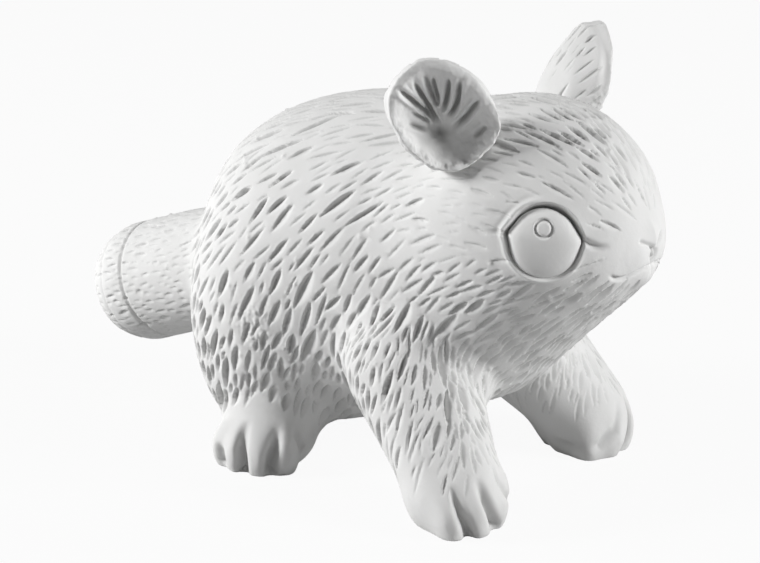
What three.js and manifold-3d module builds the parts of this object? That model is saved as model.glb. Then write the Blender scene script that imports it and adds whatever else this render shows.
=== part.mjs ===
// Bisque figurine of a crouching sugar glider: white unglazed earthenware, cast in sections joined with slip.
// The forelegs, hind feet, tail and ears butt against the torso and head, and the eyes sit in sockets.
// Millimetres, +Z up. The figure faces -Y and its left side is +X. Lifts are heights above the ground, and
// "back" values are measured from the middle of the front paws.
import * as THREE from "three";
import { mergeVertices } from "three/addons/utils/BufferGeometryUtils.js";
import Module from "manifold-3d";

const wasm = await Module();
wasm.setup();

// Joint of slip between two sections, and the clearance of an eye in its socket
const SEAM = 0.3;

// Torso: an upright egg behind, a chest in front of it, a low hump over the shoulders and two thighs
const TORSO_WIDTH = 52;
const TORSO_LENGTH = 61;
const TORSO_HEIGHT = 67;
const TORSO_BACK = 47.5;
const BELLY_LIFT = 4;
const CHEST_WIDTH = 44;
const CHEST_LENGTH = 55;
const CHEST_HEIGHT = 54;
const CHEST_BACK = 18.2;
const CHEST_LIFT = 41;
const HUMP_WIDTH = 40;
const HUMP_LENGTH = 52;
const HUMP_HEIGHT = 48;
const HUMP_BACK = 30;
const HUMP_LIFT = 51.2;
const THIGH_WIDTH = 24;
const THIGH_LENGTH = 28;
const THIGH_HEIGHT = 44;
const THIGH_OUT = 15;
const THIGH_BACK = 56.3;
const THIGH_LIFT = 24;
const BODY_BLEND = 10;

// Head: a broad skull with a short blunt muzzle, cut from the torso on a slanting plane behind the cheeks
const HEAD_WIDTH = 47;
const HEAD_LENGTH = 50;
const HEAD_HEIGHT = 46.5;
const HEAD_BACK = 0.5;
const HEAD_LIFT = 55.3;
const MUZZLE_WIDTH = 25;
const MUZZLE_LENGTH = 18;
const MUZZLE_HEIGHT = 16;
const MUZZLE_REACH = 16;
const MUZZLE_DROP = 3.5;
const MUZZLE_BLEND = 6;
const NECK_BACK = 9;
const NECK_LIFT = 57;
const NECK_TILT = THREE.MathUtils.degToRad(50);

// Ears: round cups whose backs slope down to a root on the head. Placed from the middle of the head.
const EAR_RADIUS = 10.7;
const EAR_DEPTH = 10;
const EAR_CUP = 5;
const EAR_RIM = 1.4;
const EAR_SLOPE = 0.7;
const EAR_OUT = 24.9;
const EAR_BACK = 3.5;
const EAR_UP = 23;
const EAR_SPREAD = THREE.MathUtils.degToRad(52);
const EAR_DIP = THREE.MathUtils.degToRad(8);

// Eyes: domed buttons on the sides of the face
const EYE_RADIUS = 7.6;
const EYE_DOME = 1.6;
const EYE_SEAT = 3;
const EYE_SPREAD = THREE.MathUtils.degToRad(52);
const EYE_RISE = THREE.MathUtils.degToRad(0.6);

// Forelegs: a tapering limb from the shoulder to a broad paw
const SHOULDER_RADIUS = 13;
const SHOULDER_OUT = 16.6;
const SHOULDER_BACK = 17;
const SHOULDER_LIFT = 26;
const WRIST_RADIUS = 9.2;
const WRIST_LIFT = 8.5;
const PAW_OUT = 23.8;
const PAW_BACK = 2;
const PAW_WIDTH = 17;
const PAW_HEIGHT = 13;
const PAW_BLEND = 4;

// Hind feet: a broad pad under each thigh
const FOOT_OUT = 19.8;
const FOOT_BACK = 50;
const FOOT_WIDTH = 20;
const FOOT_HEIGHT = 15;

// Toes: four to a foot, set around its edge at angles from straight ahead towards the outer side
const PAW_TOE_ANGLES = [-47, -13, 21, 55];
const FOOT_TOE_ANGLES = [34, 62, 90, 118];
const TOE_LENGTH = 10;
const TOE_WIDTH = 7;
const TOE_HEIGHT = 11;
const TOE_BLEND = 1.1;
const SOLE_CUT = 1.5;

// Tail: a drooping stump, fatter towards its domed end, with rings pressed in at these distances from its tip
const TAIL_RADIUS = 13.5;
const TAIL_ROOT_RADIUS = 12.4;
const TAIL_LENGTH = 45;
const TAIL_DOME = 13;
const TAIL_ROOT_BACK = 70;
const TAIL_ROOT_LIFT = 34.5;
const TAIL_DROOP = THREE.MathUtils.degToRad(20);
const TAIL_RING_SETBACKS = [9.7, 15.3];
const TAIL_RING_DEPTH = 0.6;

// Fur: the main strokes of the loop tool, in staggered rows over the torso and the forelegs. The coat lies
// backwards on the back and hangs down at the flanks: its slant is the drop for each step backwards.
const FUR_PITCH = 6.2;
const FUR_LENGTH = 5.2;
const FUR_WIDTH = 1.8;
const FUR_DEPTH = 0.8;
const FUR_START_BACK = 12;
const FUR_END_BACK = 76;
const FUR_AXIS_LIFT = 38;
const FUR_LOW_TURN = THREE.MathUtils.degToRad(-50);
const FUR_LOWEST = 9;
const FUR_CLEARANCE = 3;
const FUR_SLANT_LOW = 3.5;
const FUR_SLANT_TOP = 0.3;
const FUR_TOP_LIFT = 75;

// Larger than the figure in every direction
const CUTTER = 400;
const CLAY = { color: 0xe8e7e3, roughness: 0.85, metalness: 0 };

const vec = (x, y, z) => new THREE.Vector3(x, y, z);

// Fields of the soft clay volumes: negative inside, zero on the surface, growing outwards
function ellipsoid(centre, width, length, height) {
  const semi = vec(width / 2, length / 2, height / 2);
  const scaled = vec();
  return (p) => {
    const ratio = scaled.subVectors(p, centre).divide(semi).length();
    const steepness = scaled.divide(semi).length();
    return steepness > 0 ? (ratio * (ratio - 1)) / steepness : -semi.x;
  };
}

function limb(start, startRadius, end, endRadius) {
  const axis = end.clone().sub(start);
  const offset = vec();
  return (p) => {
    const along = THREE.MathUtils.clamp(offset.subVectors(p, start).dot(axis) / axis.lengthSq(), 0, 1);
    const radius = THREE.MathUtils.lerp(startRadius, endRadius, along);
    return offset.addScaledVector(axis, -along).length() - radius;
  };
}

function blend(reach, ...fields) {
  const join = (a, b) => Math.min(a, b) - Math.max(reach - Math.abs(a - b), 0) ** 2 / (4 * reach);
  return (p) => fields.map((field) => field(p)).reduce(join);
}

function onBothSides(field) {
  const folded = vec();
  return (p) => field(folded.set(Math.abs(p.x), p.y, p.z));
}

function placed(pose, field) {
  const inverse = pose.clone().invert();
  const local = vec();
  return (p) => field(local.copy(p).applyMatrix4(inverse));
}

function slope(field, p) {
  const step = 0.01;
  const here = field(p);
  const rise = (x, y, z) => field(vec(x, y, z).multiplyScalar(step).add(p)) - here;
  return vec(rise(1, 0, 0), rise(0, 1, 0), rise(0, 0, 1)).normalize();
}

// Where a ray from inside a field leaves it
function surface(field, from, ray) {
  const p = from.clone();
  while (field(p) < 0) p.addScaledVector(ray, 0.05);
  return p;
}

// Closed solids for cutting
function solid(geometry) {
  const bare = new THREE.BufferGeometry();
  bare.setAttribute("position", geometry.attributes.position);
  bare.setIndex(geometry.index);
  const merged = mergeVertices(bare);
  const vertProperties = new Float32Array(merged.attributes.position.array);
  const triVerts = new Uint32Array(merged.index.array);
  return new wasm.Manifold(new wasm.Mesh({ numProp: 3, vertProperties, triVerts }));
}

// A ball of points pushed out from the centre until each one meets the surface of the field
function skin(field, centre, detail, grown = 0) {
  const sphere = new THREE.IcosahedronGeometry(1, detail);
  sphere.deleteAttribute("normal");
  sphere.deleteAttribute("uv");
  const ball = mergeVertices(sphere);
  const points = ball.attributes.position;
  const ray = vec();
  const p = vec();
  const inside = (distance) => field(p.copy(centre).addScaledVector(ray, distance)) < grown;
  for (let i = 0; i < points.count; i++) {
    ray.fromBufferAttribute(points, i).normalize();
    let near = 0;
    let far = 1;
    while (inside(far)) {
      near = far;
      far += 1;
    }
    for (let step = 0; step < 16; step++) {
      const middle = (near + far) / 2;
      if (inside(middle)) near = middle;
      else far = middle;
    }
    p.copy(centre).addScaledVector(ray, far);
    points.setXYZ(i, p.x, p.y, p.z);
  }
  return solid(ball);
}

// A block that reaches from the local ground plane of a pose up its local Z axis
function block(pose) {
  const box = new THREE.BoxGeometry(CUTTER, CUTTER, CUTTER);
  return solid(box.translate(0, 0, CUTTER / 2).applyMatrix4(pose));
}

// The largest piece that is left when the cutters are taken away
function trimmed(piece, ...cutters) {
  const rest = cutters.reduce((left, cutter) => left.subtract(cutter), piece);
  return rest.decompose().reduce((a, b) => (a.volume() > b.volume() ? a : b));
}

const torsoCentre = vec(0, TORSO_BACK, BELLY_LIFT + TORSO_HEIGHT / 2);
const chestCentre = vec(0, CHEST_BACK, CHEST_LIFT);
const bodyCentre = torsoCentre.clone().lerp(chestCentre, 0.5);
const humpCentre = vec(0, HUMP_BACK, HUMP_LIFT);
const thighCentre = vec(THIGH_OUT, THIGH_BACK, THIGH_LIFT);
const headCentre = vec(0, HEAD_BACK, HEAD_LIFT);
const muzzleCentre = vec(0, HEAD_BACK - MUZZLE_REACH, HEAD_LIFT - MUZZLE_DROP);
const head = blend(
  MUZZLE_BLEND,
  ellipsoid(headCentre, HEAD_WIDTH, HEAD_LENGTH, HEAD_HEIGHT),
  ellipsoid(muzzleCentre, MUZZLE_WIDTH, MUZZLE_LENGTH, MUZZLE_HEIGHT),
);
const body = blend(
  BODY_BLEND,
  ellipsoid(torsoCentre, TORSO_WIDTH, TORSO_LENGTH, TORSO_HEIGHT),
  ellipsoid(chestCentre, CHEST_WIDTH, CHEST_LENGTH, CHEST_HEIGHT),
  ellipsoid(humpCentre, HUMP_WIDTH, HUMP_LENGTH, HUMP_HEIGHT),
  onBothSides(ellipsoid(thighCentre, THIGH_WIDTH, THIGH_LENGTH, THIGH_HEIGHT)),
  head,
);

// The neck plane parts the head from the torso, with half of the seam on each side of it
const neck = new THREE.Matrix4().makeRotationX(NECK_TILT).setPosition(0, NECK_BACK, NECK_LIFT);
const upright = new THREE.Matrix4().makeTranslation(0, 0, -SEAM / 2);
const upturned = new THREE.Matrix4().makeRotationX(Math.PI).setPosition(0, 0, SEAM / 2);
const aheadOfNeck = block(neck.clone().multiply(upright));
const behindNeck = block(neck.clone().multiply(upturned));
const underground = block(new THREE.Matrix4().makeRotationX(Math.PI));
const torsoAllowance = skin(body, bodyCentre, 13, SEAM);
const headAllowance = skin(body, headCentre, 10, SEAM);

const pieces = {};
pieces.torso = trimmed(skin(body, bodyCentre, 13), aheadOfNeck, underground);

// Eyes, and the head with their sockets. An eye is let in until its rim is level with the cheek around it.
function eyePose(side) {
  const flat = Math.cos(EYE_RISE);
  const ray = vec(side * Math.sin(EYE_SPREAD) * flat, -Math.cos(EYE_SPREAD) * flat, Math.sin(EYE_RISE));
  const p = surface(body, headCentre, ray);
  const outward = slope(body, p);
  p.addScaledVector(outward, -(EYE_RADIUS ** 2) / HEAD_WIDTH);
  const turn = new THREE.Quaternion().setFromUnitVectors(vec(0, 1, 0), outward);
  return new THREE.Matrix4().makeRotationFromQuaternion(turn).setPosition(p);
}

function button(radius, seat, dome) {
  const profile = [new THREE.Vector2(0, -seat), new THREE.Vector2(radius, -seat)];
  for (let angle = 0; angle <= 90; angle += 15) {
    const turn = THREE.MathUtils.degToRad(angle);
    profile.push(new THREE.Vector2(angle < 90 ? radius * Math.cos(turn) : 0, dome * Math.sin(turn)));
  }
  return new THREE.LatheGeometry(profile, 28);
}

const rightEye = eyePose(-1);
const leftEye = eyePose(1);
const socket = button(EYE_RADIUS + SEAM, EYE_SEAT + SEAM, EYE_RADIUS);
pieces.head = trimmed(
  skin(body, headCentre, 10),
  behindNeck,
  solid(socket.clone().applyMatrix4(rightEye)),
  solid(socket.clone().applyMatrix4(leftEye)),
);
pieces.eye_right = solid(button(EYE_RADIUS, EYE_SEAT, EYE_DOME).applyMatrix4(rightEye));
pieces.eye_left = solid(button(EYE_RADIUS, EYE_SEAT, EYE_DOME).applyMatrix4(leftEye));

// Ears: a turned cup, its back sheared downwards so that the root meets the head
function ear(side) {
  const profile = new THREE.SplineCurve([
    new THREE.Vector2(0, -EAR_DEPTH),
    new THREE.Vector2(EAR_RADIUS * 0.5, -EAR_DEPTH * 0.86),
    new THREE.Vector2(EAR_RADIUS * 0.85, -EAR_DEPTH * 0.45),
    new THREE.Vector2(EAR_RADIUS, -EAR_RIM / 2),
    new THREE.Vector2(EAR_RADIUS - EAR_RIM / 2, EAR_RIM / 2),
    new THREE.Vector2(EAR_RADIUS - EAR_RIM * 1.5, 0),
    new THREE.Vector2(EAR_RADIUS * 0.5, -EAR_CUP * 0.65),
    new THREE.Vector2(0, -EAR_CUP),
  ]);
  const pose = new THREE.Matrix4().makeTranslation(side * EAR_OUT, HEAD_BACK + EAR_BACK, HEAD_LIFT + EAR_UP);
  pose.multiply(new THREE.Matrix4().makeRotationZ(side * EAR_SPREAD));
  pose.multiply(new THREE.Matrix4().makeRotationX(Math.PI + EAR_DIP));
  pose.multiply(new THREE.Matrix4().makeShear(0, 0, 0, -EAR_SLOPE, 0, 0));
  const cup = new THREE.LatheGeometry(profile.getPoints(20), 28);
  return trimmed(solid(cup.applyMatrix4(pose)), headAllowance, torsoAllowance);
}

pieces.ear_right = ear(-1);
pieces.ear_left = ear(1);

// Legs
function toes(centre, width, angles) {
  return angles.map((degrees) => {
    const angle = THREE.MathUtils.degToRad(degrees);
    const reach = width / 2 - TOE_LENGTH / 5;
    const pose = new THREE.Matrix4().makeRotationZ(angle);
    pose.setPosition(centre.x + reach * Math.sin(angle), centre.y - reach * Math.cos(angle), 0);
    return placed(pose, ellipsoid(vec(0, 0, TOE_HEIGHT / 2 - SOLE_CUT), TOE_WIDTH, TOE_LENGTH, TOE_HEIGHT));
  });
}

function leg(field, centre, detail, side, ...strokes) {
  const whole = trimmed(skin(field, centre, detail), ...strokes);
  return trimmed(side < 0 ? whole.mirror([1, 0, 0]) : whole, underground, torsoAllowance);
}

const pawCentre = vec(PAW_OUT, PAW_BACK, PAW_HEIGHT / 2 - SOLE_CUT);
const shoulder = vec(SHOULDER_OUT, SHOULDER_BACK, SHOULDER_LIFT);
const wrist = vec(PAW_OUT, PAW_BACK, WRIST_LIFT);
const paw = blend(
  TOE_BLEND,
  ellipsoid(pawCentre, PAW_WIDTH, PAW_WIDTH, PAW_HEIGHT),
  ...toes(pawCentre, PAW_WIDTH, PAW_TOE_ANGLES),
);
const foreleg = blend(PAW_BLEND, limb(shoulder, SHOULDER_RADIUS, wrist, WRIST_RADIUS), paw);
const footCentre = vec(FOOT_OUT, FOOT_BACK, FOOT_HEIGHT / 2 - SOLE_CUT);
const foot = blend(
  TOE_BLEND,
  ellipsoid(footCentre, FOOT_WIDTH, FOOT_WIDTH, FOOT_HEIGHT),
  ...toes(footCentre, FOOT_WIDTH, FOOT_TOE_ANGLES),
);

// Fur: each stroke is a slim double wedge, laid along the coat and sunk to half of its thickness
const wedge = new THREE.OctahedronGeometry(1).scale(FUR_WIDTH / 2, FUR_LENGTH / 2, FUR_DEPTH);

function stroke(field, p, lie) {
  const outward = slope(field, p);
  const way = lie.clone().projectOnPlane(outward).normalize();
  const pose = new THREE.Matrix4().makeBasis(way.clone().cross(outward), way, outward).setPosition(p);
  return solid(wedge.clone().applyMatrix4(pose));
}

// Strokes around a leg, where it stands clear of the torso and above the bare paw
function legStrokes() {
  const strokes = [];
  const axis = wrist.clone().sub(shoulder);
  const length = axis.length();
  axis.normalize();
  const aside = vec(1, 0, 0).projectOnPlane(axis).normalize();
  for (let row = 0; row * FUR_PITCH < length; row++) {
    const from = shoulder.clone().addScaledVector(axis, row * FUR_PITCH);
    const count = Math.floor((2 * Math.PI * SHOULDER_RADIUS) / FUR_PITCH);
    for (let i = 0; i < count; i++) {
      const ray = aside.clone().applyAxisAngle(axis, ((i + (row % 2) / 2) * 2 * Math.PI) / count);
      const p = surface(foreleg, from, ray);
      if (body(p) > FUR_CLEARANCE && p.z > PAW_HEIGHT) strokes.push(stroke(foreleg, p, axis));
    }
  }
  return strokes;
}

const midLeg = wrist.clone().lerp(shoulder, 0.2);
pieces.foreleg_right = leg(foreleg, midLeg, 9, -1, ...legStrokes());
pieces.foreleg_left = leg(foreleg, midLeg, 9, 1, ...legStrokes());
pieces.hind_foot_right = leg(foot, footCentre, 8, -1);
pieces.hind_foot_left = leg(foot, footCentre, 8, 1);

// Tail: turned about its own axis, then the rings pressed in
const tailStraight = TAIL_LENGTH - TAIL_DOME;
const tailProfile = [new THREE.Vector2(0, 0)];
for (let along = 0; along < 1; along += 0.125) {
  const radius = THREE.MathUtils.lerp(TAIL_ROOT_RADIUS, TAIL_RADIUS, Math.sin((along * Math.PI) / 2));
  tailProfile.push(new THREE.Vector2(radius, along * tailStraight));
}
for (let angle = 0; angle < 90; angle += 9) {
  const turn = THREE.MathUtils.degToRad(angle);
  const along = tailStraight + TAIL_DOME * Math.sin(turn);
  tailProfile.push(new THREE.Vector2(TAIL_RADIUS * Math.cos(turn), along));
}
tailProfile.push(new THREE.Vector2(0, TAIL_LENGTH));
const tailRings = TAIL_RING_SETBACKS.map((setback) => {
  const up = Math.max(TAIL_DOME - setback, 0) / TAIL_DOME;
  const radius = TAIL_RADIUS * Math.sqrt(1 - up ** 2);
  const ring = new THREE.TorusGeometry(radius, TAIL_RING_DEPTH, 6, 40);
  return ring.rotateX(Math.PI / 2).translate(0, TAIL_LENGTH - setback, 0);
});
const tailPose = new THREE.Matrix4().makeRotationX(-TAIL_DROOP);
tailPose.setPosition(0, TAIL_ROOT_BACK, TAIL_ROOT_LIFT);
pieces.tail = trimmed(
  solid(new THREE.LatheGeometry(tailProfile, 40).applyMatrix4(tailPose)),
  ...tailRings.map((ring) => solid(ring.applyMatrix4(tailPose))),
  torsoAllowance,
  underground,
);

// Strokes over the torso, clear of the neck, the ears and the limbs that cover it
const tailRoot = vec(0, TAIL_ROOT_BACK, TAIL_ROOT_LIFT);
const tailField = limb(tailRoot, TAIL_RADIUS, vec(0, TAIL_LENGTH, 0).applyMatrix4(tailPose), TAIL_RADIUS);
const earMiddle = vec(EAR_OUT, HEAD_BACK + EAR_BACK, HEAD_LIFT + EAR_UP);
const fromNeck = neck.clone().invert();

function isBare(p) {
  const clear = Math.min(foreleg(p), foot(p), tailField(p), p.distanceTo(earMiddle) - EAR_RADIUS);
  const behind = -p.clone().applyMatrix4(fromNeck).z - FUR_LENGTH / 2;
  return p.x < FUR_PITCH / 2 || p.z < FUR_LOWEST || Math.min(clear, behind) < FUR_CLEARANCE;
}

function torsoStrokes() {
  const strokes = [];
  for (let row = 0; FUR_START_BACK + row * FUR_PITCH < FUR_END_BACK; row++) {
    const from = vec(0, FUR_START_BACK + row * FUR_PITCH, FUR_AXIS_LIFT);
    let turn = FUR_LOW_TURN + ((row % 2) * FUR_PITCH) / TORSO_HEIGHT;
    while (turn < Math.PI / 2) {
      const p = surface(body, from, vec(Math.cos(turn), 0, Math.sin(turn)));
      turn += FUR_PITCH / Math.max(p.distanceTo(from), FUR_PITCH);
      if (isBare(p)) continue;
      const rise = THREE.MathUtils.smoothstep(p.z, FUR_LOWEST, FUR_TOP_LIFT);
      const lie = vec(0, 1, -THREE.MathUtils.lerp(FUR_SLANT_LOW, FUR_SLANT_TOP, rise));
      strokes.push(stroke(body, p, lie), stroke(body, p.clone().setX(-p.x), lie));
    }
  }
  return strokes;
}

pieces.torso = trimmed(pieces.torso, ...torsoStrokes());

// One mesh per piece, the figure centred over the origin and standing on the ground
const figurine = new THREE.Group();
for (const [name, piece] of Object.entries(pieces)) {
  const { vertProperties, triVerts } = piece.getMesh();
  const geometry = new THREE.BufferGeometry();
  geometry.setAttribute("position", new THREE.BufferAttribute(vertProperties, 3));
  geometry.setIndex(new THREE.BufferAttribute(triVerts, 1));
  geometry.computeVertexNormals();
  const mesh = new THREE.Mesh(geometry, new THREE.MeshStandardMaterial(CLAY));
  mesh.name = name;
  figurine.add(mesh);
}
const bounds = new THREE.Box3().setFromObject(figurine, true);
const middle = bounds.getCenter(vec());
figurine.position.set(-middle.x, -middle.y, -bounds.min.z);

export default figurine;
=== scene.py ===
import math

import bpy
import numpy as np
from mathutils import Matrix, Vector, kdtree, noise
from mathutils.bvhtree import BVHTree


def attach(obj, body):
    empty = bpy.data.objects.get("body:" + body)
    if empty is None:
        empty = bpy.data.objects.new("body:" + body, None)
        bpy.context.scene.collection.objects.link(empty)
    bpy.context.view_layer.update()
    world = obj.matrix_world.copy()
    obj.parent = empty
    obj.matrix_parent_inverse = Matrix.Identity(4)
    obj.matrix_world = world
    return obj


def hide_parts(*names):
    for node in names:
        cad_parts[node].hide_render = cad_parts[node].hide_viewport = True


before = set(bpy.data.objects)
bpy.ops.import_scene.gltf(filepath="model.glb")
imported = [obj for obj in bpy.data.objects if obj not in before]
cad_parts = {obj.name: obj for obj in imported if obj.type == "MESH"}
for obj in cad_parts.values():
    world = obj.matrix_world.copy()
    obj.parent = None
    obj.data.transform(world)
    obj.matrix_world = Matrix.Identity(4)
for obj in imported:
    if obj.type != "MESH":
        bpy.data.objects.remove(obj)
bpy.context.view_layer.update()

# Viewpoint. The figure is looked at from the right of its face and a little above, from close by.
# It comes first, because the lines of the face and of the toes are drawn on the clay from here.
mm = 0.001
PICTURE_WIDTH = 760
PICTURE_HEIGHT = 563
VIEW_AZIMUTH = math.radians(-53.6)
VIEW_RISE = math.radians(17.5)
VIEW_DISTANCE = 380 * mm
VIEW_AIM = Vector((-7.8, -12.8, 38.05)) * mm

to_viewer = Vector(
    (math.sin(VIEW_AZIMUTH), -math.cos(VIEW_AZIMUTH), math.tan(VIEW_RISE))
).normalized()
bpy.ops.object.camera_add(location=VIEW_AIM + to_viewer * VIEW_DISTANCE)
viewpoint = bpy.context.object
viewpoint.name = "viewpoint"
viewpoint.rotation_euler = to_viewer.to_track_quat("Z", "Y").to_euler()
viewpoint.data.lens = 90
viewpoint.data.clip_start = 10 * mm
bpy.context.scene.camera = viewpoint

# Casting. Torso, head, forelegs, hind feet and tail are cast in white earthenware slip, stuck
# together and wiped over with a wet sponge, so no joint shows. They are worked here as one lump of
# soft clay, which is parted into its pieces again once it is carved.
CAST_NODES = (
    "torso", "head", "foreleg_right", "foreleg_left", "hind_foot_right", "hind_foot_left", "tail",
)
JOINT_FILL = 0.25 * mm
LUMP_GRID = 1.2 * mm
SPONGE_ROUNDS = 10
JOINT_ROUNDS = 45
JOINT_SPREAD = 6
BLUR_ROUNDS = 8
REGAIN_ROUNDS = 6
HAND_WAVER = 0.16 * mm
WAVER_LENGTH = 9 * mm


def clay_copy(name, *nodes):
    """One new object with a copy of the meshes of these nodes, their loose triangles merged."""
    bpy.ops.object.select_all(action="DESELECT")
    for node in nodes:
        copy = bpy.data.objects.new(name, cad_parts[node].data.copy())
        bpy.context.scene.collection.objects.link(copy)
        copy.select_set(True)
        bpy.context.view_layer.objects.active = copy
    if len(nodes) > 1:
        bpy.ops.object.join()
    clay = bpy.context.object
    bpy.ops.object.mode_set(mode="EDIT")
    bpy.ops.mesh.select_all(action="SELECT")
    bpy.ops.mesh.remove_doubles(threshold=0.001 * mm)
    bpy.ops.object.mode_set(mode="OBJECT")
    return clay


def work(clay, kind, **settings):
    """Gives the clay a modifier with these settings and applies it."""
    modifier = clay.modifiers.new(kind.lower(), kind)
    for name, value in settings.items():
        setattr(modifier, name, value)
    bpy.context.view_layer.objects.active = clay
    bpy.ops.object.modifier_apply(modifier=modifier.name)


def points_of(clay):
    """Where the points of the clay are, a row for each."""
    points = np.zeros(len(clay.data.vertices) * 3)
    clay.data.vertices.foreach_get("co", points)
    return points.reshape(-1, 3)


def normals_of(clay):
    """Which way is out of the clay at its points, a row for each."""
    normals = np.zeros(len(clay.data.vertices) * 3)
    clay.data.vertex_normals.foreach_get("vector", normals)
    return normals.reshape(-1, 3)


def press(clay, points):
    """Moves the points of the clay to these places."""
    clay.data.vertices.foreach_set("co", points.ravel())
    clay.data.update()


def mark(clay, name, values):
    """Writes a value at every point of the clay."""
    if name not in clay.data.attributes:
        clay.data.attributes.new(name, "FLOAT", "POINT")
    clay.data.attributes[name].data.foreach_set("value", values)


def marked(clay, name):
    """The values that were written at the points of the clay."""
    values = np.zeros(len(clay.data.vertices))
    clay.data.attributes[name].data.foreach_get("value", values)
    return values


def ramp(values, low, high):
    """0 below low, 1 above high, and a soft step between them. low may be the larger."""
    step = np.clip((values - low) / (high - low), 0, 1)
    return step * step * (3 - 2 * step)


def neighbour_mean(clay):
    """A function that gives, at every point of the clay, a value's mean over its neighbours."""
    pairs = np.zeros(len(clay.data.edges) * 2, int)
    clay.data.edges.foreach_get("vertices", pairs)
    start, end = pairs.reshape(-1, 2).T
    count = np.bincount(pairs)

    def mean(values):
        total = np.zeros_like(values)
        np.add.at(total, start, values[end])
        np.add.at(total, end, values[start])
        return total / (count if values.ndim == 1 else count[:, None])

    return mean


def solid_tree(*nodes):
    """The CAD surface of these nodes, to measure distances from."""
    corners, faces = [], []
    for node in nodes:
        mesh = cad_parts[node].data
        faces += [[len(corners) + i for i in face.vertices] for face in mesh.polygons]
        corners += [v.co for v in mesh.vertices]
    return BVHTree.FromPolygons(corners, faces)


def bisque(name, pale, dull):
    """Unglazed white earthenware: chalky and finely grained, with painted shade darkening its
    colour in cuts and grooves.
    """
    finish = bpy.data.materials.new(name)
    finish.use_nodes = True
    nodes, links = finish.node_tree.nodes, finish.node_tree.links
    shader = nodes["Principled BSDF"]
    shader.inputs["Specular IOR Level"].default_value = 0.2
    place = nodes.new("ShaderNodeTexCoord")
    clouds = nodes.new("ShaderNodeTexNoise")
    clouds.inputs["Scale"].default_value = 90
    clouds.inputs["Detail"].default_value = 6
    links.new(place.outputs["Object"], clouds.inputs["Vector"])
    tint = nodes.new("ShaderNodeValToRGB")
    tint.color_ramp.elements[0].position = 0.3
    tint.color_ramp.elements[0].color = (*dull, 1)
    tint.color_ramp.elements[1].position = 0.7
    tint.color_ramp.elements[1].color = (*pale, 1)
    links.new(clouds.outputs["Fac"], tint.inputs["Fac"])
    # Painted shade: the base colour is darkened where this mark is high, in the cuts, grooves and
    # hollows, as the shadow that falls in them.
    cut = nodes.new("ShaderNodeAttribute")
    cut.attribute_name = "painted_cut_shade"
    shade = nodes.new("ShaderNodeMapRange")
    shade.inputs["To Max"].default_value = 0.72
    links.new(cut.outputs["Fac"], shade.inputs["Value"])
    blend = nodes.new("ShaderNodeMix")
    blend.data_type = "RGBA"
    blend.inputs["B"].default_value = (*(0.45 * c for c in dull), 1)
    links.new(shade.outputs["Result"], blend.inputs["Factor"])
    links.new(tint.outputs["Color"], blend.inputs["A"])
    links.new(blend.outputs["Result"], shader.inputs["Base Color"])
    dry = nodes.new("ShaderNodeMapRange")
    dry.inputs["To Min"].default_value = 0.78
    dry.inputs["To Max"].default_value = 0.95
    links.new(clouds.outputs["Fac"], dry.inputs["Value"])
    links.new(dry.outputs["Result"], shader.inputs["Roughness"])
    grain = nodes.new("ShaderNodeTexNoise")
    grain.inputs["Scale"].default_value = 1400
    grain.inputs["Detail"].default_value = 5
    links.new(place.outputs["Object"], grain.inputs["Vector"])
    rough = nodes.new("ShaderNodeBump")
    rough.inputs["Strength"].default_value = 0.35
    rough.inputs["Distance"].default_value = 0.1 * mm
    links.new(grain.outputs["Fac"], rough.inputs["Height"])
    links.new(rough.outputs["Normal"], shader.inputs["Normal"])
    return finish


cast_bisque = bisque("cast_bisque", pale=(0.83, 0.83, 0.825), dull=(0.78, 0.78, 0.772))

casting = clay_copy("casting", *CAST_NODES, "eye_right", "eye_left")
work(casting, "DISPLACE", strength=JOINT_FILL, mid_level=0)
work(casting, "REMESH", mode="VOXEL", voxel_size=LUMP_GRID)
soften = neighbour_mean(casting)

# Which piece each point is nearest to, blurred across the joints between the pieces
groups = {
    "torso": ("torso",),
    "head": ("head", "eye_right", "eye_left"),
    "foreleg": ("foreleg_right", "foreleg_left"),
    "hind_foot": ("hind_foot_right", "hind_foot_left"),
    "tail": ("tail",),
}
trees = {name: solid_tree(*nodes) for name, nodes in groups.items()}
lump = points_of(casting)
gaps = np.array([[tree.find_nearest(p)[3] for p in lump] for tree in trees.values()])
shares = {name: (gaps.argmin(0) == i).astype(float) for i, name in enumerate(groups)}
for name in shares:
    for _ in range(BLUR_ROUNDS):
        shares[name] = (shares[name] + soften(shares[name])) / 2

# Sponging: first all over, then the joints of the limbs, and then back out to the solids' size
limbs = shares["foreleg"] + shares["hind_foot"] + shares["tail"]
joint = np.clip(JOINT_SPREAD * shares["torso"] * limbs, 0, 1)
for _ in range(SPONGE_ROUNDS):
    lump = (lump + soften(lump)) / 2
for _ in range(JOINT_ROUNDS):
    lump += joint[:, None] * (soften(lump) - lump) / 2
press(casting, lump)
shrunk = np.zeros(len(lump))
for i, p in enumerate(lump):
    nearest = [tree.find_nearest(p) for tree in trees.values()]
    place, normal, _, gap = min(nearest, key=lambda hit: hit[3])
    shrunk[i] = math.copysign(gap, normal.dot(place - Vector(p)))
shrunk *= 1 - joint
for _ in range(REGAIN_ROUNDS):
    shrunk = (shrunk + soften(shrunk)) / 2
waver = np.array([noise.noise(Vector(p) / WAVER_LENGTH) for p in lump]) * HAND_WAVER
press(casting, lump + (shrunk + waver)[:, None] * normals_of(casting))
for name, values in shares.items():
    mark(casting, name, values)
work(casting, "SUBSURF", levels=2, render_levels=2)

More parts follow.
